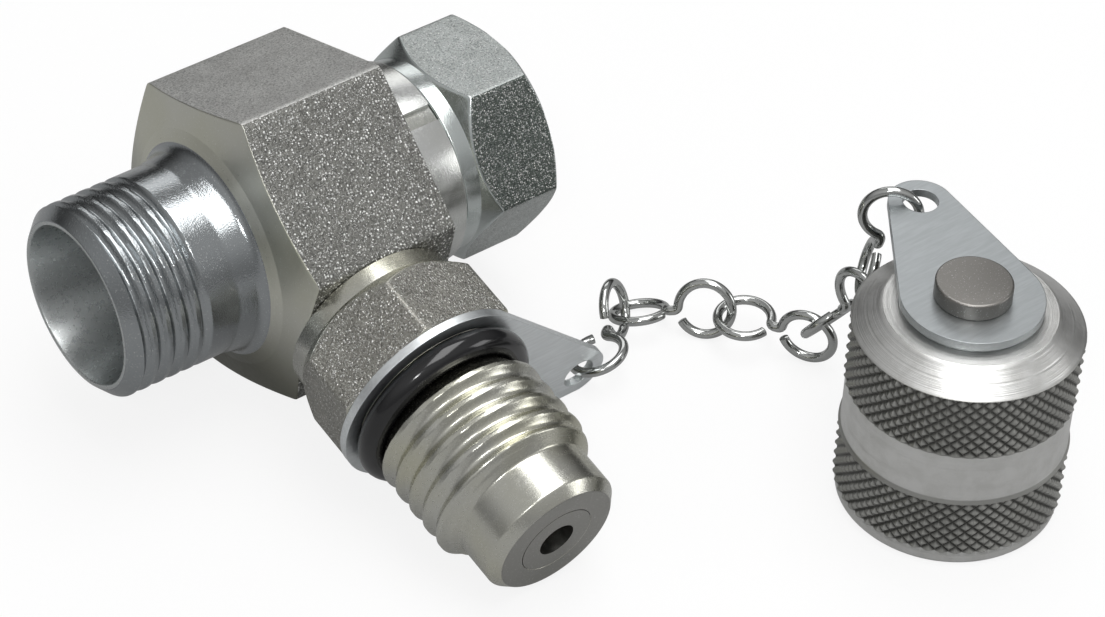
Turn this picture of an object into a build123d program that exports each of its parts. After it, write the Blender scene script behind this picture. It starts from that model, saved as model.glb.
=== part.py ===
"""In-line hydraulic test point: a hexagonal coupling body with a tube stud at one end and a
swivel nut at the other, a screwed-in test stud with a check valve on one flat, and the stud's
knurled dust cap, which stands beside it on a jack chain.

Millimetres. +X runs along the main bore and out of the tube stud, +Z is up, and the origin is
where the test stud's axis crosses the main bore. The coupling lies as it rests on a flat surface:
on one corner of its hexagon and on the end of the test stud's thread.
"""

import os
from math import atan2, cos, degrees, pi, radians, sin, sqrt, tan

from build123d import *

# ---- fits ----
SCREW_GAP = 0.03       # radial gap between a screwed or seated piece and its hole
RUN_GAP = 0.06         # radial gap of pieces that turn or slide
SEAT_GAP = 0.02        # face to face gap of pieces that are screwed or riveted together
TURN_GAP = 0.1         # end gap beside a piece that turns by hand

# ---- coupling body, along X ----
BODY_AF = 27.0         # across the flats
STUD_SIDE_X = 6.7      # where the corners meet the turned end on the stud side
NUT_SIDE_X = -7.9      # hexagon face on the nut side
END_CONE_DEG = 16.0    # slope of the turned end face
END_CONE_R = 11.6      # where that slope ends
CORNER_BREAK = 0.4     # broken edge of the hexagon on the nut side
NECK_FILLET = 1.4      # between the end face and the stud

# ---- tube stud: M18 x 1.5 with a 24 degree cone ----
STUD_R = 9.0
STUD_END_X = 22.0
STUD_LEAD = 1.1        # turned lead in front of the thread
TUBE_R = 6.0           # tube socket
TUBE_STOP_X = 10.0     # shoulder that the tube stands on
CONE_HALF_DEG = 12.0
CONE_MOUTH_R = 7.5
BORE_R = 4.0           # main bore

# ---- nut side: collar, neck and cone nose ----
COLLAR_R = 9.2
COLLAR_END_X = -13.3
NECK_R = 6.9
NOSE_START_X = -19.2
NOSE_END_X = -23.9
WIRE_X = -16.3         # groove of the wire that holds the nut
WIRE_D = 1.0
CONE_RING_X = -21.3    # O-ring in the cone
CONE_RING_D = 1.2

# ---- split ring on the collar ----
RING_T = 0.5
RING_W = 2.4
RING_GAP = 1.6         # gap between its ends
RING_GAP_DEG = 66.0    # where the gap faces, from the test stud's direction towards the top

# ---- swivel nut: M16 x 1.5, 19 across the flats ----
NUT_AF = 19.0
NUT_END_X = -23.3
NUT_SHOULDER_R = 9.3
NUT_CHAMFER_DEG = 30.0
NUT_FRONT_R = 9.6
NUT_THREAD_R = 7.2
NUT_THREAD_X = -17.9   # inner end of the nut's thread
NUT_TURN_DEG = -18.3   # how the nut happens to be turned
NUT_LEAD = 0.8

# ---- test stud, distances along its own axis ----
PORT_R = 5.0           # M10 x 1 end screwed into the body
PORT_HOLE_R = 2.4      # hole from the main bore to the port
PORT_END = 6.3         # inner end of the stud
PORT_FLOOR = 5.9       # floor of the threaded port
SEAL_R = 8.3           # round seat above the flat
SEAL_H = 1.7
TEST_AF = 17.0
TEST_HEX_END = 22.6
TEST_TURN_DEG = 42.8   # how its hexagon happens to be turned
SEAT_CHAMFER_DEG = 45.0
THREAD_R = 8.0         # M16 x 2
THREAD_END = 36.0
THREAD_LEAD = 1.0
GROOVE_R = 6.4         # groove of the dust ring, behind the thread
NOSE_R = 6.6
NOSE_TIP = 41.2
NOSE_EDGE = 1.1
DUST_RING_D = 2.4
PORT_RING_D = 1.5

# ---- check valve inside the test stud ----
CHAMBER_R = 3.1
CHAMBER_FLOOR = 9.5
INLET_R = 1.3
INSERT_R = 3.55
INSERT_L = 5.2
PROBE_R = 1.75         # hole that the gauge probe enters
POPPET_START = 22.0
POPPET_SHANK_R = 1.4
POPPET_HEAD_L = 7.5
PIN_R = 1.0
PIN_TIP = 38.6
POPPET_RING_D = 1.0
SPRING_WIRE = 0.6
SPRING_TURNS = 5
VALVE_TRAVEL = 2.0

# ---- straps: the pear-shaped plates at the chain's ends ----
STRAP_T = 0.8
STRAP_REACH = 19.2     # ring centre to chain hole on the stud's strap
STRAP_RING_R = 9.5 
STRAP_TIP_R = 2.8
STRAP_HOLE_R = 1.6
STRAP_DOWN_DEG = 24.0  # how far the stud's strap hangs below the main axis
CAP_STRAP_REACH = 13.1
CAP_STRAP_RING_R = 6.3
CAP_STRAP_TIP_R = 2.9

# ---- dust cap ----
CAP_R = 10.2
CAP_H = 21.2
CAP_TOP_R = 7.6
CAP_SHOULDER_H = 19.3  # where the turned slope to the top starts
CAP_RIM_H = 1.5        # plain rim at the mouth
CAP_RIM_R = 9.9
BAND_LOW = 7.9         # plain band between the two knurled ones
BAND_HIGH = 12.8
BAND_STEP = 0.2
CAP_THREAD_R = 7.0
CAP_DEPTH = 16.6
CAP_RELIEF = 2.2       # thread undercut at the bottom of the cap
CAP_RELIEF_STEP = 1.1
CAP_SEAL_T = 1.4
CAP_LEAD = 1.0
RIVET_R = 2.0
RIVET_HEAD_R = 3.4
RIVET_HEAD_H = 1.6
RIVET_TAIL_R = 3.0
RIVET_TAIL_H = 1.0
WASHER_T = 0.5
WASHER_R = 5.9
CAP_STRAP_DEG = 68.0   # from the chain hole to the cap's axis, counter-clockwise from +X

# ---- jack chain ----
CHAIN_WIRE = 0.9
LINK_L = 11.2          # between the wire centres at a link's two ends
EYE_R = 2.5
EYE_CUT_DEG = 24.0     # where an eye's cut end stops, past the link's own axis
EYE_LEAVE_DEG = 10.0   # where the eye bends back into the shank
CHAIN_PLAY = 0.3       # gap between two links, or a link and a strap
FIRST_LINK_DEG = 6.0   # how far link 1 pulls below -X, seen along the test stud
FIRST_LINK_BACK = 36.7 # how far it leans back towards the body
FIRST_LINK_ROLL = -31.0  # about its own axis
# For the links after the first: heading counter-clockwise from +X, rise above the surface and
# roll about the link's own axis.
LINK_WAYS = [
    (134.6, 12.7, -19.7),
    (118.1, 1.9, 2.6),
    (90.2, 55.4, 4.2),
    (146.4, 76.7, -7.5),
]

# ---- worked out ----
BODY_CORNER_R = BODY_AF / sqrt(3)
TEST_CORNER_R = TEST_AF / sqrt(3)
NUT_CORNER_R = NUT_AF / sqrt(3)
BODY_FLAT = BODY_AF / 2
THREAD_REST = THREAD_END - THREAD_LEAD
TILT_DEG = degrees(atan2(BODY_CORNER_R - THREAD_R, THREAD_REST))
FLOOR_Z = -BODY_CORNER_R * cos(radians(TILT_DEG))
STRAP_AT = TEST_HEX_END + SEAT_GAP
GROOVE_AT = STRAP_AT + STRAP_T + SEAT_GAP
DUST_RING_AT = GROOVE_AT + SCREW_GAP + DUST_RING_D / 2
GROOVE_END = DUST_RING_AT + (sqrt(2) - 1) * (DUST_RING_D / 2 + SCREW_GAP) + THREAD_R - GROOVE_R
INSERT_AT = NOSE_TIP - INSERT_L
POPPET_SEAT = INSERT_AT - SEAT_GAP

X_AXIS = Vector(1, 0, 0)
PORT_AXIS = Vector(0, cos(radians(TILT_DEG)), -sin(radians(TILT_DEG)))
PORT_UP = X_AXIS.cross(PORT_AXIS)


def turned(profile):
    """A solid of revolution about Z from (radius, height) corners that run round its section."""
    section = make_face(Polyline(*[(r, 0, h) for r, h in profile], close=True))
    return revolve(section, Axis.Z)


def ring(radius, wire, height=0.0):
    """A torus about Z: an O-ring or a wire ring."""
    section = Plane.XZ * Pos(radius, height) * Circle(wire / 2)
    return revolve(section, Axis.Z)


def hexagon(across_flats, low, high, turn_deg=0.0):
    """A hexagonal prism about Z with a corner at turn_deg from +X."""
    blank = RegularPolygon(across_flats / sqrt(3), 6, rotation=turn_deg)
    return Pos(0, 0, low) * extrude(blank, high - low)


def cylinder(radius, low, high):
    """A cylinder about Z between two heights."""
    return Pos(0, 0, low) * Cylinder(radius, high - low, align=(Align.CENTER, Align.CENTER, Align.MIN))


def along_x(shape):
    """Turns a piece made about Z onto the main axis, with its own X towards the test stud."""
    return Plane(origin=(0, 0, 0), x_dir=PORT_AXIS, z_dir=X_AXIS) * shape


def along_port(shape):
    """Turns a piece made about Z onto the test stud's axis, with its own X towards the nut."""
    return Plane(origin=(0, 0, 0), x_dir=-X_AXIS, z_dir=PORT_AXIS) * shape


# ---------------------------------------------------------------- coupling body and its rings


def coupling_body():
    """Hexagon, tube stud, collar, neck and cone nose: one turned and milled bar."""
    end_face_x = STUD_SIDE_X + (BODY_CORNER_R - END_CONE_R) * tan(radians(END_CONE_DEG))
    outline = [
        (0, NUT_SIDE_X),
        (BODY_CORNER_R - CORNER_BREAK, NUT_SIDE_X),
        (BODY_CORNER_R, NUT_SIDE_X + CORNER_BREAK),
        (BODY_CORNER_R, STUD_SIDE_X),
        (END_CONE_R, end_face_x),
        (0, end_face_x),
    ]
    bar = hexagon(BODY_AF, NUT_SIDE_X, end_face_x, 30) & turned(outline)
    stud = turned([
        (0, end_face_x),
        (STUD_R + NECK_FILLET, end_face_x),
        (STUD_R + NECK_FILLET * 0.35, end_face_x + NECK_FILLET * 0.4),
        (STUD_R, end_face_x + NECK_FILLET),
        (STUD_R, STUD_END_X - STUD_LEAD),
        (STUD_R - STUD_LEAD, STUD_END_X),
        (0, STUD_END_X),
    ])
    body = bar + stud + nut_side_spigot()
    body -= cylinder(BORE_R, NOSE_END_X - 1, STUD_END_X + 1)
    body -= tube_socket()
    body = along_x(body)
    body -= along_port(cylinder(PORT_R + SCREW_GAP, PORT_FLOOR, BODY_AF))
    body -= along_port(cylinder(PORT_HOLE_R, 0, PORT_FLOOR + 1))
    return body


def nut_side_spigot():
    """Collar for the split ring, neck with the wire groove, and the cone nose with its O-ring groove."""
    cone_end_r = NECK_R - (NOSE_START_X - NOSE_END_X) * tan(radians(CONE_HALF_DEG))
    spigot = turned([
        (0, NUT_SIDE_X),
        (COLLAR_R, NUT_SIDE_X),
        (COLLAR_R, COLLAR_END_X),
        (NECK_R, COLLAR_END_X),
        (NECK_R, NOSE_START_X),
        (cone_end_r, NOSE_END_X),
        (0, NOSE_END_X),
    ])
    spigot -= ring(wire_ring_radius(), WIRE_D + 2 * SCREW_GAP, WIRE_X)
    spigot -= ring(cone_ring_radius(), CONE_RING_D + 2 * SCREW_GAP, CONE_RING_X)
    return spigot


def tube_socket():
    """What is cut away for the tube: its socket and the 24 degree cone."""
    cone_l = (CONE_MOUTH_R - TUBE_R) / tan(radians(CONE_HALF_DEG))
    return turned([
        (0, TUBE_STOP_X),
        (TUBE_R, TUBE_STOP_X),
        (TUBE_R, STUD_END_X - cone_l),
        (CONE_MOUTH_R, STUD_END_X),
        (CONE_MOUTH_R, STUD_END_X + 1),
        (0, STUD_END_X + 1),
    ])


def wire_ring_radius():
    """The retaining wire lies half in the neck and half in the nut."""
    return NECK_R + RUN_GAP / 2


def cone_ring_radius():
    """The O-ring stands a little proud of the cone."""
    cone_r = NECK_R - (NOSE_START_X - CONE_RING_X) * tan(radians(CONE_HALF_DEG))
    return cone_r - CONE_RING_D * 0.35


def split_ring():
    """Flat strip bent round the collar, with a gap between its square ends."""
    low = NUT_SIDE_X - SEAT_GAP - RING_W
    strip = cylinder(COLLAR_R + SCREW_GAP + RING_T, low, low + RING_W)
    strip -= cylinder(COLLAR_R + SCREW_GAP, low - 1, low + RING_W + 1)
    cut = Pos(COLLAR_R, 0, low + RING_W / 2) * Box(4 * RING_T, RING_GAP, 2 * RING_W)
    return along_x(strip - Rot(0, 0, RING_GAP_DEG) * cut)


def nut_wire():
    """Round wire that keeps the nut on the neck."""
    return along_x(ring(wire_ring_radius(), WIRE_D, WIRE_X))


def cone_o_ring():
    """Soft seal in the cone nose."""
    return along_x(ring(cone_ring_radius(), CONE_RING_D, CONE_RING_X))


def swivel_nut():
    """Hexagon nut, chamfered at both ends, with a running bore, a wire groove and its thread."""
    back_x = COLLAR_END_X - TURN_GAP
    chamfer_l = (NUT_CORNER_R - NUT_SHOULDER_R) / tan(radians(NUT_CHAMFER_DEG))
    front_l = (NUT_CORNER_R - NUT_FRONT_R) * tan(radians(NUT_CHAMFER_DEG))
    outline = [
        (0, NUT_END_X),
        (NUT_FRONT_R, NUT_END_X),
        (NUT_CORNER_R, NUT_END_X + front_l),
        (NUT_CORNER_R, back_x - chamfer_l),
        (NUT_SHOULDER_R, back_x),
        (0, back_x),
    ]
    nut = hexagon(NUT_AF, NUT_END_X, back_x, 30 + NUT_TURN_DEG) & turned(outline)
    nut -= cylinder(NECK_R + RUN_GAP, NUT_THREAD_X, back_x + 1)
    nut -= cylinder(NUT_THREAD_R, NUT_END_X - 1, NUT_THREAD_X)
    nut -= turned([
        (0, NUT_END_X),
        (NUT_THREAD_R + NUT_LEAD, NUT_END_X),
        (NUT_THREAD_R, NUT_END_X + NUT_LEAD),
        (0, NUT_END_X + NUT_LEAD),
    ])
    nut -= ring(wire_ring_radius(), WIRE_D + 2 * RUN_GAP, WIRE_X)
    return along_x(nut)


# ---------------------------------------------------------------- test stud and its check valve


def test_stud():
    """Screwed-in stud: port thread, round seat, hexagon, undercut, cap thread and nose."""
    seat_top = BODY_FLAT + SEAT_GAP + SEAL_H
    chamfer_l = (TEST_CORNER_R - SEAL_R) * tan(radians(SEAT_CHAMFER_DEG))
    hexagon_limit = turned([
        (0, seat_top),
        (SEAL_R, seat_top),
        (TEST_CORNER_R, seat_top + chamfer_l),
        (TEST_CORNER_R, TEST_HEX_END - CORNER_BREAK),
        (TEST_CORNER_R - CORNER_BREAK, TEST_HEX_END),
        (0, TEST_HEX_END),
    ])
    stud = hexagon(TEST_AF, seat_top, TEST_HEX_END, TEST_TURN_DEG) & hexagon_limit
    stud += turned([
        (0, PORT_END),
        (PORT_R - CORNER_BREAK, PORT_END),
        (PORT_R, PORT_END + CORNER_BREAK),
        (PORT_R, BODY_FLAT + SEAT_GAP),
        (SEAL_R, BODY_FLAT + SEAT_GAP),
        (SEAL_R, seat_top),
        (0, seat_top),
    ])
    stud += turned([
        (0, TEST_HEX_END),
        (THREAD_R, TEST_HEX_END),
        (THREAD_R, GROOVE_AT),
        (GROOVE_R, GROOVE_AT),
        (GROOVE_R, GROOVE_END - (THREAD_R - GROOVE_R)),
        (THREAD_R, GROOVE_END),
        (THREAD_R, THREAD_END - THREAD_LEAD),
        (NOSE_R, THREAD_END),
        (NOSE_R, NOSE_TIP - NOSE_EDGE),
        (NOSE_R - NOSE_EDGE, NOSE_TIP),
        (0, NOSE_TIP),
    ])
    stud -= cylinder(INLET_R, PORT_END - 1, CHAMBER_FLOOR + 1)
    stud -= cylinder(CHAMBER_R, CHAMBER_FLOOR, INSERT_AT)
    stud -= cylinder(INSERT_R + SCREW_GAP, INSERT_AT, NOSE_TIP + 1)
    stud -= ring(port_ring_radius(), PORT_RING_D + 2 * SCREW_GAP, port_ring_at())
    return along_port(stud)


def port_ring_radius():
    """The port's seal lies in a groove in the round seat, midway between thread and edge."""
    return (PORT_R + SEAL_R) / 2


def port_ring_at():
    """The port's seal touches the body's flat."""
    return BODY_FLAT + SEAT_GAP + PORT_RING_D / 2


def port_o_ring():
    """Seal between the stud and the body's flat."""
    return along_port(ring(port_ring_radius(), PORT_RING_D, port_ring_at()))


def dust_o_ring():
    """Rubber ring that the screwed-on cap presses on."""
    return along_port(ring(GROOVE_R + SCREW_GAP + DUST_RING_D / 2, DUST_RING_D, DUST_RING_AT))


def valve_insert():
    """Seat insert in the nose, with the probe's hole and the poppet's cone seat."""
    depth = INSERT_R - PROBE_R - 0.6
    insert = cylinder(INSERT_R, INSERT_AT + SEAT_GAP, NOSE_TIP)
    insert -= cylinder(PROBE_R, INSERT_AT - 1, NOSE_TIP + 1)
    seat = [
        (0, INSERT_AT),
        (PROBE_R + depth, INSERT_AT),
        (PROBE_R, INSERT_AT + depth),
        (0, INSERT_AT + depth),
    ]
    return along_port(insert - turned(seat))


def valve_poppet():
    """Poppet: shank inside the spring, guided head with a seal groove, cone and pin."""
    head_r = CHAMBER_R - RUN_GAP
    cone_l = head_r - PROBE_R
    head_at = POPPET_SEAT - POPPET_HEAD_L
    poppet = turned([
        (0, POPPET_START),
        (POPPET_SHANK_R, POPPET_START),
        (POPPET_SHANK_R, head_at),
        (head_r, head_at),
        (head_r, POPPET_SEAT - cone_l),
        (PROBE_R, POPPET_SEAT),
        (PIN_R, POPPET_SEAT),
        (PIN_R, PIN_TIP - PIN_R / 2),
        (PIN_R / 2, PIN_TIP),
        (0, PIN_TIP),
    ])
    return along_port(poppet - ring(poppet_ring_radius(), POPPET_RING_D + 2 * SCREW_GAP, poppet_ring_at()))


def poppet_ring_radius():
    """The poppet's seal stays just inside the chamber wall."""
    return CHAMBER_R - RUN_GAP - POPPET_RING_D / 2


def poppet_ring_at():
    """Middle of the poppet's guided head."""
    return POPPET_SEAT - POPPET_HEAD_L / 2


def poppet_o_ring():
    """Seal that travels with the poppet."""
    return along_port(ring(poppet_ring_radius(), POPPET_RING_D, poppet_ring_at()))


def valve_spring():
    """Coil spring between the chamber's floor and the poppet's head, round its shank."""
    low = CHAMBER_FLOOR + SPRING_WIRE / 2 + SEAT_GAP
    high = POPPET_SEAT - POPPET_HEAD_L - SPRING_WIRE / 2 - SEAT_GAP
    coil_r = CHAMBER_R - RUN_GAP - SPRING_WIRE
    path = Helix((high - low) / SPRING_TURNS, high - low, coil_r)
    section = Plane(origin=path @ 0, z_dir=path % 0) * Circle(SPRING_WIRE / 2)
    return along_port(Pos(0, 0, low) * sweep(section, path, is_frenet=True))


# ---------------------------------------------------------------- straps


def pear_plate(ring_r, tip_r, reach):
    """Outline of a strap, lying in XY: two rounds joined by their common tangents, tip on +X."""
    slope = (ring_r - tip_r) / reach
    rise = sqrt(1 - slope**2)
    flank = [
        (ring_r * slope, ring_r * rise),
        (reach + tip_r * slope, tip_r * rise),
        (reach + tip_r * slope, -tip_r * rise),
        (ring_r * slope, -ring_r * rise),
    ]
    web = make_face(Polyline(*flank, close=True))
    plate = Circle(ring_r) + web + Pos(reach, 0) * Circle(tip_r)
    return plate - Pos(reach, 0) * Circle(STRAP_HOLE_R)


def stud_strap():
    """Plate that turns on the test stud, held by the dust ring, and carries the chain."""
    plate = pear_plate(STRAP_RING_R, STRAP_TIP_R, STRAP_REACH) - Circle(THREAD_R + TURN_GAP)
    return along_port(Pos(0, 0, STRAP_AT) * Rot(0, 0, -STRAP_DOWN_DEG) * extrude(plate, STRAP_T))


def cap_strap():
    """Plate that turns under the rivet's head on top of the cap."""
    plate = pear_plate(CAP_STRAP_RING_R, CAP_STRAP_TIP_R, CAP_STRAP_REACH) - Circle(RIVET_R + TURN_GAP)
    return on_cap(Pos(0, 0, strap_height()) * Rot(0, 0, CAP_STRAP_DEG - 180) * extrude(plate, STRAP_T))


# ---------------------------------------------------------------- jack chain


def way(heading, rise):
    """Unit direction from a heading counter-clockwise from +X and a rise, in degrees."""
    a, b = radians(heading), radians(rise)
    return Vector(cos(a) * cos(b), sin(a) * cos(b), sin(b))


def strap_way(below, back=0.0):
    """Direction beside the stud's strap: below -X in its plane, and back towards the body."""
    a, b = radians(below), radians(back)
    flat = -X_AXIS * cos(a) - PORT_UP * sin(a)
    return flat * cos(b) - PORT_AXIS * sin(b)


def rolled(pull, side, roll):
    """A side direction turned about the link's own axis."""
    a = radians(roll)
    return side * cos(a) + pull.cross(side) * sin(a)


def chain_frames():
    """For each link: the wire centre at its near end, its direction, and the side its first eye lies to."""
    hole = PORT_AXIS * (STRAP_AT + STRAP_T / 2) + strap_way(STRAP_DOWN_DEG) * STRAP_REACH
    rim = hole + strap_way(FIRST_LINK_DEG) * ((STRAP_HOLE_R + STRAP_TIP_R) / 2)
    grip = (STRAP_TIP_R - STRAP_HOLE_R) / 2 + CHAIN_WIRE / 2 + CHAIN_PLAY
    pull = strap_way(FIRST_LINK_DEG, FIRST_LINK_BACK)
    near = rim - pull * grip
    frames = [(near, pull, rolled(pull, pull.cross(PORT_UP).normalized(), FIRST_LINK_ROLL))]
    for heading, rise, roll in LINK_WAYS:
        near, pull, side = frames[-1]
        eye = near + pull * (LINK_L - EYE_R)
        follow = way(heading, rise)
        in_eye = (follow - side * follow.dot(side)).normalized()
        near = eye + in_eye * EYE_R - follow * (CHAIN_WIRE + CHAIN_PLAY)
        frames.append((near, follow, rolled(follow, Vector(0, 0, 1).cross(follow).normalized(), roll)))
    return frames


def link_point(frame, along, side, up):
    """A point of a link in its own frame: along it, to the side, and square to both."""
    near, pull, across = frame
    return near + pull * along + across * side + pull.cross(across) * up


def arc_point(centre, radius, deg):
    """A point of a circle in a link's plane, as (along, aside)."""
    return centre[0] + radius * cos(radians(deg)), centre[1] + radius * sin(radians(deg))


def link_route(frame):
    """Wire route of one link: an eye to the side, a shank, and an eye square to the first."""
    leave = sin(radians(EYE_LEAVE_DEG))
    bend = EYE_R * leave / (1 - leave)
    eye = (EYE_R, 0)
    turn = (EYE_R + (EYE_R + bend) * cos(radians(EYE_LEAVE_DEG)), bend)
    half = [
        arc_point(eye, EYE_R, -EYE_CUT_DEG),
        arc_point(eye, EYE_R, -150),
        arc_point(eye, EYE_R, EYE_LEAVE_DEG),
        arc_point(turn, bend, 225 + EYE_LEAVE_DEG / 2),
        arc_point(turn, bend, 270),
    ]
    first = [link_point(frame, a, b, 0) for a, b in half]
    last = [link_point(frame, LINK_L - a, 0, b) for a, b in half]
    return Wire([
        ThreePointArc(first[0], first[1], first[2]),
        ThreePointArc(first[2], first[3], first[4]),
        Line(first[4], last[4]),
        ThreePointArc(last[4], last[3], last[2]),
        ThreePointArc(last[2], last[1], last[0]),
    ])


def chain_link(frame):
    """One link bent from round wire."""
    route = link_route(frame)
    return sweep(Plane(origin=route @ 0, z_dir=route % 0) * Circle(CHAIN_WIRE / 2), route)


# ---------------------------------------------------------------- dust cap


def strap_height():
    """Height of the cap's strap above the surface that the cap stands on."""
    return CAP_H + SEAT_GAP + WASHER_T + SEAT_GAP


def cap_place():
    """Where the cap's axis meets the surface: the chain's last eye passes through its strap's hole."""
    near, pull, _ = chain_frames()[-1]
    rim_w = CAP_STRAP_TIP_R - STRAP_HOLE_R
    rim = near + pull * (LINK_L - CHAIN_WIRE / 2 - rim_w / 2 - CHAIN_PLAY)
    hole = rim + way(LINK_WAYS[-1][0], 0) * ((STRAP_HOLE_R + CAP_STRAP_TIP_R) / 2)
    axis = hole + way(CAP_STRAP_DEG, 0) * CAP_STRAP_REACH
    return Vector(axis.X, axis.Y, FLOOR_Z)


def on_cap(shape):
    """Puts a piece made about Z, from its foot up, where the cap stands."""
    place = cap_place()
    return Pos(place.X, place.Y, place.Z) * shape


def cap():
    """Knurled sleeve with a closed top, threaded inside, turned from bar."""
    rim_step = CAP_R - CAP_RIM_R
    shell = turned([
        (0, 0),
        (CAP_RIM_R - CORNER_BREAK, 0),
        (CAP_RIM_R, CORNER_BREAK),
        (CAP_RIM_R, CAP_RIM_H - rim_step),
        (CAP_R, CAP_RIM_H),
        (CAP_R, BAND_LOW),
        (CAP_R - BAND_STEP, BAND_LOW),
        (CAP_R - BAND_STEP, BAND_HIGH),
        (CAP_R, BAND_HIGH),
        (CAP_R, CAP_SHOULDER_H),
        (CAP_TOP_R, CAP_H),
        (0, CAP_H),
    ])
    relief_r = CAP_THREAD_R + CAP_RELIEF_STEP
    shell -= turned([
        (0, -1),
        (CAP_THREAD_R + CAP_LEAD, -1),
        (CAP_THREAD_R + CAP_LEAD, 0),
        (CAP_THREAD_R, CAP_LEAD),
        (CAP_THREAD_R, CAP_DEPTH - CAP_RELIEF),
        (relief_r, CAP_DEPTH - CAP_RELIEF),
        (relief_r, CAP_DEPTH),
        (0, CAP_DEPTH),
    ])
    return on_cap(shell - cylinder(RIVET_R + SCREW_GAP, CAP_DEPTH - 1, CAP_H + 1))


def cap_seal():
    """Soft washer at the bottom of the cap, held in the thread undercut."""
    seal = cylinder(CAP_THREAD_R + CAP_RELIEF_STEP - SCREW_GAP, CAP_DEPTH - CAP_SEAL_T, CAP_DEPTH - SEAT_GAP)
    return on_cap(seal - cylinder(RIVET_TAIL_R + RUN_GAP, 0, CAP_H))


def cap_washer():
    """Thin washer between the cap and its strap."""
    low = CAP_H + SEAT_GAP
    washer = cylinder(WASHER_R, low, low + WASHER_T) - cylinder(RIVET_R + TURN_GAP, 0, CAP_H + 2)
    return on_cap(washer)


def cap_rivet():
    """Shouldered rivet: head above the strap, shank through the cap, tail inside."""
    head_low = strap_height() + STRAP_T + SEAT_GAP
    tail_top = CAP_DEPTH - SEAT_GAP
    edge = CORNER_BREAK / 2
    return on_cap(turned([
        (0, tail_top - RIVET_TAIL_H),
        (RIVET_TAIL_R - edge, tail_top - RIVET_TAIL_H),
        (RIVET_TAIL_R, tail_top - RIVET_TAIL_H + edge),
        (RIVET_TAIL_R, tail_top),
        (RIVET_R, tail_top),
        (RIVET_R, head_low),
        (RIVET_HEAD_R, head_low),
        (RIVET_HEAD_R, head_low + RIVET_HEAD_H - edge),
        (RIVET_HEAD_R - edge, head_low + RIVET_HEAD_H),
        (0, head_low + RIVET_HEAD_H),
    ]))


def build():
    """Every piece, by its node's name."""
    pieces = {
        "body": coupling_body(),
        "split_ring": split_ring(),
        "nut_wire": nut_wire(),
        "cone_o_ring": cone_o_ring(),
        "swivel_nut": swivel_nut(),
        "test_stud": test_stud(),
        "port_o_ring": port_o_ring(),
        "dust_o_ring": dust_o_ring(),
        "valve_insert": valve_insert(),
        "valve_poppet": valve_poppet(),
        "poppet_o_ring": poppet_o_ring(),
        "valve_spring": valve_spring(),
        "stud_strap": stud_strap(),
        "cap_strap": cap_strap(),
        "cap": cap(),
        "cap_seal": cap_seal(),
        "cap_washer": cap_washer(),
        "cap_rivet": cap_rivet(),
    }
    for number, frame in enumerate(chain_frames(), 1):
        pieces[f"chain_link_{number}"] = chain_link(frame)
    return pieces


if __name__ == "__main__":
    os.makedirs("parts", exist_ok=True)
    for name, piece in build().items():
        export_step(piece, f"parts/{name}.step")
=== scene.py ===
"""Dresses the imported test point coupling: threads, knurl, rounded edges, chain wire and finishes.

Sizes are millimetres in the part's own frame: +X runs out of the tube stud, +Z is up, and the
origin is where the test stud's axis crosses the main bore. Meshes are written in metres. Turned
pieces are grids r(turn, station): a section carried round its axis, cut by a hexagon or pressed
in by a thread or a knurl. Each row of a section is a corner: its radius, its station, how far it
is rounded, and the longest piece of the run after it.
"""

from math import atan2, cos, pi, radians, sin, sqrt, tan

import bmesh
import bpy
import numpy as np
from mathutils import Euler, Matrix, Vector


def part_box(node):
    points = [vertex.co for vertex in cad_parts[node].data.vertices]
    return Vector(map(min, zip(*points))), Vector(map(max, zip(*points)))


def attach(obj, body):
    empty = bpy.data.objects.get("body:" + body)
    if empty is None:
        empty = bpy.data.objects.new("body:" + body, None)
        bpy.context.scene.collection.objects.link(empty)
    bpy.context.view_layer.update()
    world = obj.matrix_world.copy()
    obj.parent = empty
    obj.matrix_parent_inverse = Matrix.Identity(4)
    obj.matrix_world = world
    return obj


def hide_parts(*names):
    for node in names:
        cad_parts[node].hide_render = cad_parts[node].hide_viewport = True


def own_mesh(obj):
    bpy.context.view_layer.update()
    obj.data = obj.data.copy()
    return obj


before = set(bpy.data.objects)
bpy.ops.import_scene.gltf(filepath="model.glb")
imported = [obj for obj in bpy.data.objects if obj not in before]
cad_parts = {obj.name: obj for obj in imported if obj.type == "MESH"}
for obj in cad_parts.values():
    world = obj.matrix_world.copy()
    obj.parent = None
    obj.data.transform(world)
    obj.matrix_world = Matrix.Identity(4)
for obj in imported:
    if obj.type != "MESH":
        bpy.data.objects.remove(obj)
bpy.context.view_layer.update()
MM = 0.001

# ------------------------------------------------------------------ sizes, in millimetres

SCREW_GAP = 0.03  # between a seated ring and its groove

# coupling body, along X
BODY_AF = 27.0  # across the flats
BODY_TURN_DEG = 30.0  # from the test stud's direction to a corner
BODY_OVER_R = 17.0  # beyond its corners, where the hexagon cuts the section
NUT_SIDE_X = -7.9  # hexagon's face on the nut side
END_CONE_TOP_X = 6.28  # turned face on the stud side, at BODY_OVER_R
END_CONE_X = 7.95  # and where it ends
END_CONE_R = 11.2
FILLET_R = 9.55  # middle of the round fillet between that face and the stud
FILLET_X = 8.7
STUD_R = 9.0
STUD_ROOT_X = 11.0  # where the stud's plain shank starts
STUD_SHANK_X = 12.2  # and where the grid turns fine enough for the thread
STUD_END_X = 22.0
STUD_LEAD = 1.1
TUBE_R = 6.0  # tube socket
TUBE_STOP_X = 10.0
CONE_MOUTH_R = 7.5
CONE_FLOOR_X = 14.94  # where its 24 degree cone meets the tube socket
BORE_R = 4.0
COLLAR_R = 9.2
COLLAR_END_X = -13.3
NECK_R = 6.9
NOSE_START_X = -19.2
NOSE_END_X = -23.9
NOSE_END_R = 5.9
CONE_GROOVE_R = 5.5
CONE_GROOVE_X = (-21.6, -20.9)
CONE_GROOVE_RIMS = (6.42, 6.55)

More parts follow.
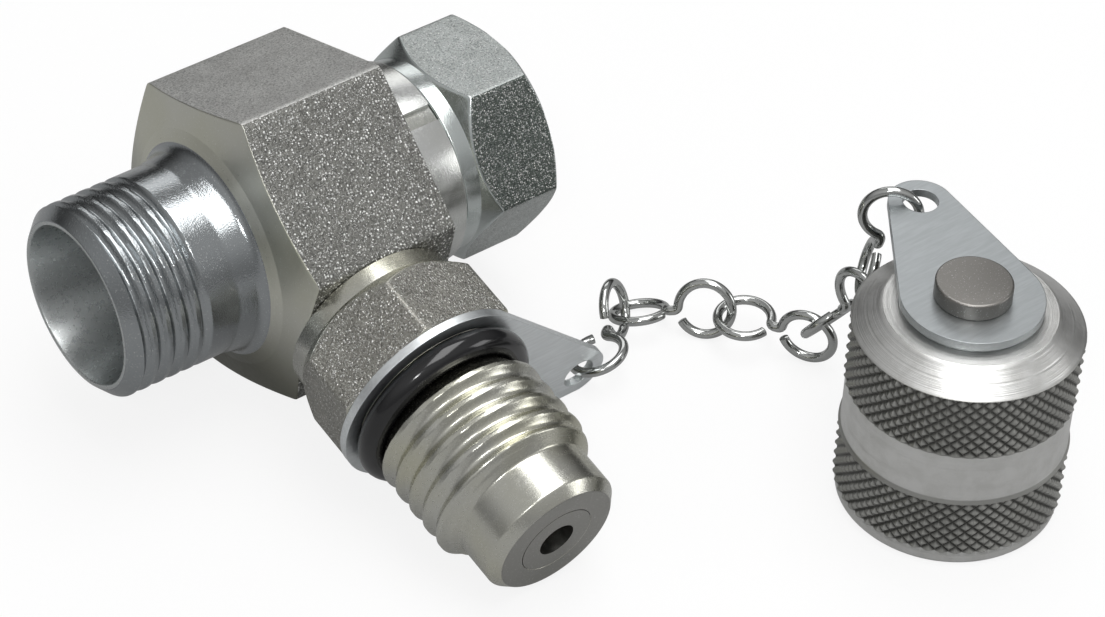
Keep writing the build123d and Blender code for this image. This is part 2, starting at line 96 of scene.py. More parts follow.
# split strip round the collar
STRIP_R = 9.23
STRIP_T = 0.5
STRIP_X = (-13.22, -7.92)
STRIP_GAP = 1.6
STRIP_GAP_DEG = 75.0  # from the test stud's direction towards the top

# swivel nut, along X
NUT_AF = 19.0
NUT_TURN_DEG = -18.3  # from the body's hexagon
NUT_OVER_R = 11.4  # beyond its corners
NUT_BACK_X = -13.4
NUT_BACK_R = 9.3
NUT_END_X = -23.3
NUT_FRONT_R = 9.6
NUT_LEAD = 0.8
NUT_BORE_R = 6.96
NUT_THREAD_R = 7.2
NUT_THREAD_X = -17.9
NUT_COLLAR_X = -15.0  # where the round collar meets the sloped corners
NUT_COLLAR_R = 9.38
NUT_SLOPE_BACK = 1.8  # length of the slopes along the axis
NUT_SLOPE_FRONT = 1.2

# test stud, along its own axis
TEST_AF = 17.0
TEST_TURN_DEG = 42.8
TEST_OVER_R = 10.4  # beyond its corners
PORT_R = 5.0
PORT_END = 6.3
INLET_R = 1.3
SEAT_R = 8.3
SEAT_AT = 13.52
SEAT_TOP = 15.2
TEST_SLOPE_BACK = 2.1  # length of the hexagon's slopes along the axis
TEST_SLOPE_FRONT = 0.35
TEST_FRONT_R = 9.5
TEST_HEX_END = 22.6
GROOVE_R = 6.4
GROOVE_AT = 23.44
DUST_RING_D = 2.4
GROOVE_SLOPE = (25.2, 26.75)
THREAD_R = 8.0
THREAD_REST = 35.0  # where the thread touches the table
THREAD_SLOPE = (35.2, 36.35)  # from the thread down to the nose
NOSE_R = 6.6
NOSE_TIP = 41.2
NOSE_EDGE = 1.0
NOSE_FACE_R = 5.7
INSERT_HOLE_R = 3.58
INSERT_AT = 36.0
CHAMBER_R = 3.1
CHAMBER_FLOOR = 9.5

# dust cap, up from its mouth
CAP_R = 10.2
CAP_H = 21.2
CAP_TOP_R = 7.6
CAP_SHOULDER_H = 19.3  # where the turned slope starts
CAP_RIM_R = 9.9
CAP_RIM_H = 1.2
CAP_FOOT_R = 9.5
CAP_FOOT_H = 0.5
CAP_THREAD_R = 7.0
CAP_LEAD = 1.0
CAP_DEPTH = 16.6
CAP_RELIEF_R = 8.1
CAP_RELIEF_AT = 14.4
CAP_HOLE_R = 2.03
BAND_R = 10.0
BAND = (7.95, 12.75)  # plain band between the knurled ones
KNURL_COUNT = 52
KNURL_RISE = 1.15  # height of one diamond
KNURL_DEPTH = 0.34
KNURL_CUTS = 8  # grid steps across a diamond
LOW_KNURL = (1.75, 1.75 + 5 * KNURL_RISE)
HIGH_KNURL = (13.0, 13.0 + 5.5 * KNURL_RISE)
RIVET_R = 2.0
RIVET_HEAD_R = 3.4
RIVET_HEAD = (22.56, 24.16)
RIVET_TAIL_R = 3.0
RIVET_TAIL = (15.58, 16.58)

# threads: first and last station, pitch, depth, and how much of the wave stays uncut as crest
STUD_THREAD = (13.7, 21.6, 1.5, 0.5, 0.2)
NUT_THREAD = (-22.9, -18.2, 1.5, 0.7, 0.15)
TEST_THREAD = (25.8, 35.9, 2.0, 0.62, 0.1)
CAP_THREAD = (0.8, CAP_RELIEF_AT, 2.0, 0.9, 0.15)

# stud's strap and jack chain
STRAP_REACH = 19.2  # ring centre to chain hole
STRAP_HOLE_R = 1.6
STRAP_TIP_R = 2.8
STRAP_MID = 23.02  # middle of its thickness, along the test stud
STRAP_DOWN_DEG = 24.0
LINK_L = 11.2  # between the wire's centres at a link's two ends
WIRE_R = 0.45
EYE_R = 2.5
EYE_CUT_DEG = 24.0  # where an eye's cut end stops, past the link's own axis
EYE_LEAVE_DEG = 10.0  # where the eye bends back into the shank
CHAIN_PLAY = 0.3
FIRST_LINK_DEG = 6.0  # how far link 1 pulls below -X, seen along the test stud
FIRST_LINK_BACK = 36.7  # how far it leans back towards the body
FIRST_LINK_ROLL = -31.0
# the links after it: heading counter-clockwise from +X, rise above the table, roll about itself
LINK_WAYS = [
    (134.6, 12.7, -19.7),
    (118.1, 1.9, 2.6),
    (90.2, 55.4, 4.2),
    (146.4, 76.7, -7.5),
]

# grid steps
SECTOR_CUTS = 40  # in each sixth of a turned piece with a hexagon
ARC_POINTS = 7  # along a rounded corner
UNCUT = 99.0  # longer than any run
SLOPE_CUT = 0.04  # on slopes that a hexagon cuts
RING_CUTS = 160
TUBE_CUTS = 28
WIRE_CUTS = 20

# directions, and frames of turned pieces: centre, first and second direction of the turn, axis
TILT = atan2(BODY_AF / sqrt(3) - THREAD_R, THREAD_REST)
FLOOR_Z = -BODY_AF / sqrt(3) * cos(TILT)
AXIS_X = np.array([1.0, 0.0, 0.0])
AXIS_Y = np.array([0.0, 1.0, 0.0])
AXIS_Z = np.array([0.0, 0.0, 1.0])
PORT = np.array([0.0, cos(TILT), -sin(TILT)])
PORT_UP = np.cross(AXIS_X, PORT)
LIT_SATIN_FLAT = 0.866 * PORT_UP - 0.5 * PORT  # normal of the body's two smooth flats, which take the satin finish: a finer texture and a light tone that is painted light
SIDEWAYS = 0.12  # how far along the axis the normal of a flat's face may lean
MAIN = (np.zeros(3), PORT, PORT_UP, AXIS_X)
BRANCH = (np.zeros(3), -AXIS_X, PORT_UP, PORT)
cap_low, cap_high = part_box("cap")
CAP_CENTRE = np.array([(cap_low.x + cap_high.x) / 2 / MM, (cap_low.y + cap_high.y) / 2 / MM, FLOOR_Z])
UPRIGHT = (CAP_CENTRE, AXIS_X, AXIS_Y, AXIS_Z)


# ------------------------------------------------------------------ shader expressions


class Wave:
    """A number, colour or vector in a material: arithmetic on it adds the nodes."""

    def __init__(self, tree, socket):
        self.tree, self.socket = tree, socket

    def math(self, operation, *others):
        values = dict(enumerate((self, *others)))
        return make(self.tree, "ShaderNodeMath", {"operation": operation}, values)

    def vector(self, operation, values=None, out=0):
        values = {0: self, **(values or {})}
        return make(self.tree, "ShaderNodeVectorMath", {"operation": operation}, values, out)

    def __add__(self, other):
        return self.math("ADD", other)

    __radd__ = __add__

    def __rsub__(self, other):
        return self.math("MULTIPLY_ADD", -1.0, other)

    def __mul__(self, other):
        return self.math("MULTIPLY", other)

    __rmul__ = __mul__

    def between(self, low, high, out_low=0.0, out_high=1.0):
        """Smooth step from out_low at low to out_high at high."""
        settings = {"interpolation_type": "SMOOTHSTEP"}
        values = {0: self, 1: low, 2: high, 3: out_low, 4: out_high}
        return make(self.tree, "ShaderNodeMapRange", settings, values)

    def blend(self, first, second):
        """Colour that goes from first to second as this number goes from 0 to 1."""
        settings = {"data_type": "RGBA", "clamp_factor": True}
        return make(self.tree, "ShaderNodeMix", settings, {0: self, 6: first, 7: second}, 2)

    def dot(self, other):
        return self.vector("DOT_PRODUCT", {1: other}, 1)

    def less(self, other):
        return self.vector("SUBTRACT", {1: other})

    def length(self):
        return self.vector("LENGTH", out=1)


def make(tree, kind, settings=None, values=None, out=0):
    """Adds any node: its settings first, then the values or links of its sockets."""
    node = tree.nodes.new(kind)
    for key, value in (settings or {}).items():
        setattr(node, key, value)
    for key, value in (values or {}).items():
        socket = node.inputs[key]
        if isinstance(value, Wave):
            tree.links.new(value.socket, socket)
        elif isinstance(value, tuple) and socket.type == "RGBA":
            socket.default_value = (*value, 1.0)
        else:
            socket.default_value = value
    return Wave(tree, node.outputs[out])


def place(tree):
    """Object coordinates, which are metres in the part's frame."""
    return make(tree, "ShaderNodeTexCoord", out=3)


def grain(tree, where, scale, detail=2.0, rough=0.5):
    """Cloudy noise, about 0 to 1, with features of 1 / scale metres."""
    values = {"Vector": where, "Scale": scale, "Detail": detail, "Roughness": rough}
    return make(tree, "ShaderNodeTexNoise", values=values)


def cells(tree, where, scale):
    """Distance from the nearest of many scattered points, and that point's own random colour."""
    near = make(tree, "ShaderNodeTexVoronoi", values={"Vector": where, "Scale": scale})
    return near, Wave(tree, near.socket.node.outputs["Color"])


def rings(tree, where, axis, centre, per_metre):
    """Fine turned rings about an axis: noise of the station plus 1.4 times the radius, so that they
    run on over faces square to the axis. Returns the noise, the station and the radius."""
    offset = where.less(tuple(centre * MM))
    station = offset.dot(tuple(axis))
    along = make(tree, "ShaderNodeVectorMath", {"operation": "SCALE"}, {0: tuple(axis), 3: station})
    radius = offset.less(along).length()
    line = make(tree, "ShaderNodeCombineXYZ", values={0: (station + radius * 1.4) * per_metre})
    return grain(tree, line, 1.0, 3.0, 0.65), station, radius


def bump(tree, height, distance, strength=1.0, normal=None):
    """Normal from a height, over another normal where one is given."""
    values = {"Height": height, "Distance": distance, "Strength": strength}
    if normal is not None:
        values["Normal"] = normal
    return make(tree, "ShaderNodeBump", values=values)


def new_material(name):
    """A new material and its node tree, under a name that the frame's own materials don't have."""
    material = bpy.data.materials.new(name)
    material.use_nodes = True
    return material, material.node_tree


def surface(material, colour, roughness, normal, **plain):
    """A finished material: what varies over it, then its plain values."""
    tree = material.node_tree
    shader = tree.nodes["Principled BSDF"]
    for key, value in {"Base Color": colour, "Roughness": roughness, "Normal": normal}.items():
        tree.links.new(value.socket, shader.inputs[key])
    for key, value in plain.items():
        shader.inputs[key.replace("_", " ")].default_value = value
    return material


def shaded(colour, share):
    """A colour made darker or lighter by a share."""
    return tuple(min(1.0, part * share) for part in colour)


# ------------------------------------------------------------------ finishes, in metres


def turned_zinc(name, axis, colour, tint, rough, centre=np.zeros(3), grit=0.25, painted_shade=None):
    """Zinc plate over fine turning marks, with a faint passivation tint in patches. The last argument,
    where given, paints shade: a direction, two levels along it in metres, and the colour that the plate
    darkens to."""
    material, tree = new_material(name)
    where = place(tree)
    lines, _, _ = rings(tree, where, axis, centre, 9000.0)
    patch = grain(tree, where, 110.0, 2.0).between(0.3, 0.7)
    pits = grain(tree, where, 6500.0, 2.0, 0.6)
    dull = grain(tree, where, 1900.0, 4.0, 0.6).between(0.3, 0.8)
    shade = patch.blend(colour, tint)
    shade = pits.between(0.62, 0.72, 0.0, 0.5).blend(shade, (0.88, 0.88, 0.87))
    # painted shade: the plate darkens along a direction between two levels
    if painted_shade:
        way, high, low, dark = painted_shade
        shade = where.dot(tuple(way)).between(high, low).blend(shade, dark)
    roughness = rough + 0.08 * dull + 0.08 * lines
    ridges = bump(tree, lines, 0.00002, 0.3)
    normal = bump(tree, pits, 0.00003, grit, ridges)
    return surface(material, shade, roughness, normal, Metallic=1.0)


def milled_zinc(name, colour, sparkle, rough, size):
    """Rough zinc on a milled or drawn flat: dense crystals of 1 / size metres, tilted one by one by the
    bump and painted near white in the colour as glints, over dark valleys."""
    material, tree = new_material(name)
    where = place(tree)
    near, own = cells(tree, where, size)
    small, other = cells(tree, where, size * 1.9)
    spot = near.between(0.5, 0.2) * own.dot((1.0, 0.0, 0.0)).between(0.3, 0.9)
    speck = small.between(0.5, 0.2) * other.dot((0.0, 1.0, 0.0)).between(0.35, 0.85)
    cloud = grain(tree, where, 420.0, 4.0, 0.6)
    fine = grain(tree, where, size * 1.1, 3.0, 0.7)
    bright = (spot + speck * 0.7) * sparkle
    shade = cloud.between(0.35, 0.7).blend(shaded(colour, 0.85), colour)
    shade = fine.between(0.52, 0.38, 0.0, 0.7).blend(shade, shaded(colour, 0.35))
    # painted glints: the crystals' spots are near white in the colour
    shade = (bright * 0.9).blend(shade, (0.95, 0.95, 0.93))
    roughness = rough - 0.12 * spot + 0.08 * cloud
    coarse = bump(tree, fine, 0.00012, 0.7 * sparkle)
    normal = bump(tree, bright, 0.0001, 0.6 * sparkle, coarse)
    return surface(material, shade, roughness, normal, Metallic=1.0)


def sheet_zinc(name, colour):
    """Zinc-plated sheet: even and pale, with long faint rolling streaks and soft edges."""
    material, tree = new_material(name)
    where = place(tree)
    stretched = make(tree, "ShaderNodeMapping", values={"Vector": where, "Scale": (400.0, 3500.0, 3500.0)})
    streak = grain(tree, stretched, 1.0, 3.0, 0.6)
    cloud = grain(tree, where, 500.0, 3.0, 0.6)
    soft_edge = make(tree, "ShaderNodeBevel", {"samples": 6}, {"Radius": 0.00012})
    shade = streak.between(0.3, 0.75).blend(colour, shaded(colour, 1.13))
    roughness = 0.3 + 0.12 * cloud
    normal = bump(tree, streak, 0.00002, 0.3, soft_edge)
    return surface(material, shade, roughness, normal, Metallic=1.0)


def bright_wire(name, colour):
    """Nickel-plated wire: bright, with slight waviness and small dull marks."""
    material, tree = new_material(name)
    where = place(tree)
    wave = grain(tree, where, 1100.0, 2.0)
    marks = grain(tree, where, 4200.0, 3.0, 0.6).between(0.58, 0.72)
    shade = marks.blend(colour, (0.45, 0.46, 0.45))
    roughness = 0.12 + 0.16 * marks
    return surface(material, shade, roughness, bump(tree, wave, 0.00006, 0.35), Metallic=1.0)


def seal_rubber(name):
    """Black nitrile: smooth with a soft shine, fine moulding specks and a little dust."""
    material, tree = new_material(name)
    where = place(tree)
    dust = grain(tree, where, 2600.0, 4.0, 0.7).between(0.62, 0.8)
    shade = dust.blend((0.007, 0.007, 0.008), (0.03, 0.03, 0.031))
    roughness = 0.14 + 0.25 * dust
    normal = bump(tree, grain(tree, where, 900.0, 3.0), 0.00004, 0.25)
    return surface(material, shade, roughness, normal, Coat_Weight=0.3, Coat_Roughness=0.08)


def cap_steel(name):
    """Turned steel of the cap: ringed top slope, satin band, and knurled bands darkened by painted shade,
    nearly black in their valleys.
    """
    material, tree = new_material(name)
    where = place(tree)
    lines, station, radius = rings(tree, where, AXIS_Z, CAP_CENTRE, 5200.0)
    height = station * 1000.0
    out = radius * 1000.0
    low = height.between(LOW_KNURL[0] - 0.2, LOW_KNURL[0]) * height.between(BAND[0], BAND[0] - 0.15)
    high = height.between(BAND[1], BAND[1] + 0.15) * height.between(CAP_SHOULDER_H + 0.2, CAP_SHOULDER_H)
    knurled = (low + high) * out.between(8.5, 9.0)
    valley_shade = knurled * out.between(CAP_R - 0.08, CAP_R - KNURL_DEPTH)
    cloud = grain(tree, where, 600.0, 4.0, 0.6)
    shade = cloud.between(0.3, 0.7).blend((0.68, 0.68, 0.66), (0.76, 0.76, 0.745))
    # painted shade: the knurled bands are darkened, and their valleys nearly black
    shade = (knurled * 0.85).blend(shade, (0.34, 0.34, 0.32))
    shade = (valley_shade * 0.9).blend(shade, (0.05, 0.05, 0.045))
    roughness = 0.27 + 0.12 * cloud + 0.1 * knurled
    ridges = bump(tree, lines, 0.0001, 0.7)
    normal = bump(tree, grain(tree, where, 4200.0, 2.0), 0.00003, 0.25, ridges)
    return surface(material, shade, roughness, normal, Metallic=1.0)


# body flats: the milled ones are dark and the satin ones light, partly a real difference of texture and
# partly painted shade and painted light, so that the flats facing the view are darker than the top one
MILLED_SHADED = milled_zinc("milled_body_painted_shade", (0.215, 0.215, 0.2), 1.15, 0.36, 3500.0)
SATIN_LIT = milled_zinc("satin_body_painted_light", (0.68, 0.68, 0.66), 0.5, 0.4, 4600.0)
# nut flats: every other flat is light satin and the ones between dark milled, painted light and painted
# shade
NUT_FLAT_SHADED = milled_zinc("nut_flat_painted_shade", (0.12, 0.14, 0.128), 0.85, 0.34, 5200.0)
NUT_FLAT_LIT = milled_zinc("nut_flat_painted_light", (0.5, 0.53, 0.52), 0.5, 0.36, 5200.0)
MILLED_TEST = milled_zinc("milled_test", (0.42, 0.41, 0.37), 0.85, 0.34, 4300.0)
TURNED_MAIN = turned_zinc("turned_main", AXIS_X, (0.58, 0.59, 0.57), (0.56, 0.56, 0.46), 0.16)
NUT_SKIN = turned_zinc("nut_skin", AXIS_X, (0.62, 0.66, 0.65), (0.55, 0.59, 0.58), 0.12)
END_PAINTED_SHADE = (PORT_UP, 0.004, -0.009, (0.15, 0.15, 0.12))  # the end face is darker below: painted shade, for the part's shadow on the table that it mirrors
END_FACE = turned_zinc("end_face", AXIS_X, (0.66, 0.66, 0.6), (0.62, 0.62, 0.52), 0.24, painted_shade=END_PAINTED_SHADE)
STUD_SKIN = turned_zinc("stud_skin", AXIS_X, (0.38, 0.4, 0.41), (0.33, 0.35, 0.36), 0.07, grit=0.6)
MOUTH_SKIN = turned_zinc("mouth_skin", AXIS_X, (0.56, 0.58, 0.58), (0.5, 0.52, 0.52), 0.22)
TURNED_TEST = turned_zinc("turned_test", PORT, (0.6, 0.6, 0.56), (0.6, 0.59, 0.48), 0.18)
RIVET_STEEL = turned_zinc("rivet_steel", AXIS_Z, (0.27, 0.26, 0.245), (0.24, 0.232, 0.218), 0.3, CAP_CENTRE)
BRIGHT_SPRING = turned_zinc("bright_spring", AXIS_X, (0.66, 0.67, 0.66), (0.62, 0.63, 0.6), 0.16)
INNER_STEEL = turned_zinc("inner_steel", PORT, (0.36, 0.355, 0.335), (0.32, 0.32, 0.3), 0.26)
# one zinc sheet in two tones: lighter on the stud's strap, painted light, and darker on the cap's strap and
# washer, painted shade
STUD_SHEET_LIT = sheet_zinc("stud_strap_sheet_painted_light", (0.8, 0.83, 0.84))
CAP_SHEET_SHADED = sheet_zinc("cap_strap_sheet_painted_shade", (0.44, 0.465, 0.475))
WIRE = bright_wire("chain_wire", (0.5, 0.51, 0.5))
RUBBER = seal_rubber("seal_rubber")
CAP_STEEL = cap_steel("cap_steel")


# ------------------------------------------------------------------ turned shapes


def turns(start):
    """Angles round an axis in six sectors, crowded towards the corners of a hexagon at start."""
    t = np.linspace(-1.0, 1.0, SECTOR_CUTS, endpoint=False)
    sector = np.sign(t) * np.abs(t) ** 1.5 * radians(30)
    corners = start + np.arange(6) * radians(60)
    return (corners[:, None] + sector[None, :]).ravel()


def round_turns(count):
    """Angles evenly round an axis."""
    return np.linspace(0, 2 * pi, count, endpoint=False)


def rounded(before, at, after, rounding):
    """Points that replace a corner: a circular arc that touches both runs, each for at most 0.45
    of its length, or the corner itself."""
    a, b = before - at, after - at
    la, lb = np.hypot(*a), np.hypot(*b)
    a, b = a / la, b / lb
    half = np.arccos(np.clip(a @ b, -1, 1)) / 2
    cut = min(rounding / max(tan(half), 1e-6), la * 0.45, lb * 0.45)
    if cut < 1e-6:
        return at[None, :]
    middle = at + (a + b) / np.linalg.norm(a + b) * cut * tan(half) / sin(half)
    first, last = at + a * cut - middle, at + b * cut - middle
    t = np.linspace(0, 1, ARC_POINTS)[:, None]
    swept = pi - 2 * half
    return middle + (np.sin((1 - t) * swept) * first + np.sin(t * swept) * last) / sin(swept)


def section(*corners):
    """Closed outline of a turned piece from corners (radius, station, rounding, step), where the
    step may be left out. Returns its radii and its stations."""
    points = np.array([corner[:2] for corner in corners])
    count = len(points)
    steps = [corner[3] if len(corner) > 3 else UNCUT for corner in corners]
    arcs = [rounded(points[i - 1], points[i], points[(i + 1) % count], corners[i][2]) for i in range(count)]
    rows = []
    for i in range(count):
        rows.append(arcs[i])
        run = arcs[(i + 1) % count][0] - arcs[i][-1]
        cuts = int(np.ceil(np.hypot(*run) / steps[i]))
        rows.append(arcs[i][-1] + np.arange(1, cuts)[:, None] / max(cuts, 1) * run)
    out = np.vstack(rows)
    return out[:, 0], out[:, 1]


def turned(angle, outline):
    """Turn, station and radius at each point of a turned grid, before anything is cut."""
    radii, stations = outline
    turn, station = np.meshgrid(angle, stations)
    return turn, station, np.repeat(radii[:, None], len(angle), 1)


def softened_least(a, b, width):
    """The smaller of two radii, with the edge between them rounded over about width."""
    return np.minimum(a, b) - width * np.log1p(np.exp(-np.abs(a - b) / width))


def hexagon_radius(turn, across, start, sharp=90.0):
    """Distance to a hexagon's side in a direction, its corners rounded by a high power mean."""
    normals = start + radians(30) + np.arange(6) * radians(60)
    facing = np.clip(np.cos(turn[..., None] - normals), 0, None)
    return across / 2 / (facing**sharp).sum(-1) ** (1 / sharp)


def thread_dip(turn, station, thread, hand=1.0, run_out=0.8):
    """How deep a thread cuts: a rounded V repeated along a helix, whose station rises with the turn
    for a hand of 1 and falls for -1, faded in and out over run_out at its ends."""
    low, high, pitch, depth, land = thread
    phase = np.mod(station / pitch - hand * turn / (2 * pi), 1.0)
    wave = 0.5 - 0.5 * np.cos(2 * pi * phase)
    groove = np.clip((wave - land) / (1 - land), 0, 1) ** 0.8
    inside = np.clip((station - low) / run_out, 0, 1) * np.clip((high - station) / run_out, 0, 1)
    return depth * groove * inside


def knurl_dip(turn, station, band):
    """How deep a diamond knurl cuts: two crossing families of V grooves leave flat-topped points."""
    low, high = band
    along = (station - low) / KNURL_RISE
    across = turn / (2 * pi) * KNURL_COUNT
    first = 1 - np.abs(2 * np.mod(across + along, 1.0) - 1)
    second = 1 - np.abs(2 * np.mod(across - along, 1.0) - 1)
    point = np.minimum(np.minimum(first, second) / 0.8, 1.0)
    inside = (station > low - 1e-6) & (station < high + 1e-6)
    return np.where(inside, KNURL_DEPTH * (1 - point), 0.0)


def spun(axes, radius, station, turn):
    """Points of a turned grid: station along the axis, radius in the direction of each turn."""
    centre, east, north, axis = axes
    reach = np.cos(turn)[..., None] * east + np.sin(turn)[..., None] * north
    return centre + station[..., None] * axis + radius[..., None] * reach


def grid_object(name, points, finishes, body, node, around=True, along=True, sharp_deg=32.0):
    """Mesh from a grid of points (stations, turns, xyz) in millimetres, closed around and along
    where asked, with the doubled points of its poles merged. It rides a body for a CAD node."""
    rows, cols = points.shape[:2]
    index = np.arange(rows * cols).reshape(rows, cols)
    a = index if along else index[:-1]
    b = np.roll(index, -1, 0) if along else index[1:]
    if around:
        quads = np.stack([a, np.roll(a, -1, 1), np.roll(b, -1, 1), b], -1)
    else:
        quads = np.stack([a[:, :-1], a[:, 1:], b[:, 1:], b[:, :-1]], -1)
    mesh = bpy.data.meshes.new(name)
    mesh.from_pydata((points.reshape(-1, 3) * MM).tolist(), [], quads.reshape(-1, 4).tolist())
    merged = bmesh.new()
    merged.from_mesh(mesh)
    bmesh.ops.remove_doubles(merged, verts=merged.verts, dist=2e-7)
    bmesh.ops.recalc_face_normals(merged, faces=merged.faces)
    merged.to_mesh(mesh)
    merged.free()
    mesh.shade_smooth()
    mesh.set_sharp_from_angle(angle=radians(sharp_deg))
    for finish in finishes:
        mesh.materials.append(finish)
    thing = bpy.data.objects.new(name, mesh)
    bpy.context.collection.objects.link(thing)
    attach(thing, body)
    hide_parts(node)
    return thing


def assign_by(thing, choose):
    """Gives each face the material slot that choose(centres, normals) returns, in millimetres."""
    mesh = thing.data
    count = len(mesh.polygons)
    centres = np.empty(count * 3, np.float32)
    normals = np.empty(count * 3, np.float32)
    mesh.polygons.foreach_get("center", centres)
    mesh.polygons.foreach_get("normal", normals)
    slots = choose(centres.reshape(-1, 3) / MM, normals.reshape(-1, 3)).astype(np.int32)
    mesh.polygons.foreach_set("material_index", slots)
    mesh.update()


# ------------------------------------------------------------------ the pieces


def coupling_body():
    """Hexagon, threaded tube stud with its cone mouth, collar, neck and cone nose."""
    start = radians(BODY_TURN_DEG)
    outline = section(
        (COLLAR_R, NUT_SIDE_X, 0.1),
        (BODY_OVER_R, NUT_SIDE_X, 0.0, 0.25),
        (BODY_OVER_R, NUT_SIDE_X + 0.3, 0.0, 2.0),
        (BODY_OVER_R, END_CONE_TOP_X, 0.0, SLOPE_CUT),
        (END_CONE_R, END_CONE_X, 0.8, 0.2),
        (FILLET_R, FILLET_X, 1.2, 0.1),
        (STUD_R, STUD_ROOT_X, 2.0, 0.3),
        (STUD_R, STUD_SHANK_X, 0.0, 0.1),
        (STUD_R, STUD_END_X - STUD_LEAD, 0.25, 0.1),
        (STUD_R - STUD_LEAD, STUD_END_X, 0.15),
        (CONE_MOUTH_R, STUD_END_X, 0.15, 0.5),
        (TUBE_R, CONE_FLOOR_X, 0.05, 0.4),
        (TUBE_R, TUBE_STOP_X, 0.1),
        (BORE_R, TUBE_STOP_X, 0.15),
        (BORE_R, NOSE_END_X, 0.15),
        (NOSE_END_R, NOSE_END_X, 0.15),
        (CONE_GROOVE_RIMS[0], CONE_GROOVE_X[0], 0.1),
        (CONE_GROOVE_R, CONE_GROOVE_X[0], 0.05),
        (CONE_GROOVE_R, CONE_GROOVE_X[1], 0.05),
        (CONE_GROOVE_RIMS[1], CONE_GROOVE_X[1], 0.1),
        (NECK_R, NOSE_START_X, 0.1),
        (NECK_R, COLLAR_END_X, 0.0),
        (COLLAR_R, COLLAR_END_X, 0.15),
    )
    turn, station, radius = turned(turns(start), outline)
    radius -= (radius > STUD_R - 0.05) * thread_dip(turn, station, STUD_THREAD)
    radius = softened_least(radius, hexagon_radius(turn, BODY_AF, start), 0.06)
    finishes = [MILLED_SHADED, TURNED_MAIN, END_FACE, STUD_SKIN, SATIN_LIT, MOUTH_SKIN]
    milled, turned_main, end_face, stud_skin, satin, mouth_skin = range(6)
    points = spun(MAIN, radius, station, turn)
    thing = grid_object("coupling_body", points, finishes, "coupling", "body")

    def choose(at, facing):
        x = at[:, 0]
        out = np.hypot(at @ PORT, at @ PORT_UP)
        flat = (x > NUT_SIDE_X + 0.05) & (x < 7.2) & (out > 13.0) & (np.abs(facing[:, 0]) < SIDEWAYS)
        # the two flats square to the satin normal take the light satin tone, painted light, and the other
        # flats the dark milled tone, painted shade
        drawn = flat & (np.abs(facing @ LIT_SATIN_FLAT) > 0.9)
        end = (x > 6.0) & (x < 8.5) & (out > 9.75)
        stud = (x >= 8.0) & (out > 7.8)
        mouth = (x > TUBE_STOP_X - 0.1) & (out < 7.8)
        kinds = [satin, milled, end_face, stud_skin, mouth_skin]
        return np.select([drawn, flat, end, stud, mouth], kinds, turned_main)

    assign_by(thing, choose)


def swivel_nut():
    """Hexagon nut with a round collar, 30 degree slopes at both ends and its thread inside."""
    start = radians(BODY_TURN_DEG + NUT_TURN_DEG)
    outline = section(
        (NUT_THREAD_R, NUT_THREAD_X, 0.05),
        (NUT_BORE_R, NUT_THREAD_X, 0.0),
        (NUT_BORE_R, NUT_BACK_X, 0.1),
        (NUT_BACK_R, NUT_BACK_X, 0.2),
        (NUT_COLLAR_R, NUT_COLLAR_X, 0.0, SLOPE_CUT),
        (NUT_OVER_R, NUT_COLLAR_X - NUT_SLOPE_BACK, 0.0, 0.5),
        (NUT_OVER_R, NUT_END_X + NUT_SLOPE_FRONT, 0.0, SLOPE_CUT),
        (NUT_FRONT_R, NUT_END_X, 0.2, 0.3),
        (NUT_THREAD_R + NUT_LEAD, NUT_END_X, 0.15),
        (NUT_THREAD_R, NUT_END_X + NUT_LEAD, 0.1, 0.12),
    )
    turn, station, radius = turned(turns(start), outline)
    radius += (radius < NUT_THREAD_R + 0.1) * thread_dip(turn, station, NUT_THREAD)
    radius = softened_least(radius, hexagon_radius(turn, NUT_AF, start), 0.05)
    finishes = [NUT_FLAT_SHADED, NUT_SKIN, NUT_FLAT_LIT]
    milled, skin, satin = range(3)
    points = spun(MAIN, radius, station, turn)
    thing = grid_object("swivel_nut_dressed", points, finishes, "nut", "swivel_nut")

    def choose(at, facing):
        out = np.hypot(at @ PORT, at @ PORT_UP)
        # every other flat takes the light satin tone, painted light, and the flats between take the dark
        # milled tone, painted shade
        side = np.floor((np.arctan2(facing @ PORT_UP, facing @ PORT) - start) / radians(60)) % 2
        flat = (np.abs(facing[:, 0]) < SIDEWAYS) & (out > 9.2) & (at[:, 0] < NUT_COLLAR_X - 0.02)
        return np.select([flat & (side > 0), flat], [satin, milled], skin)

    assign_by(thing, choose)


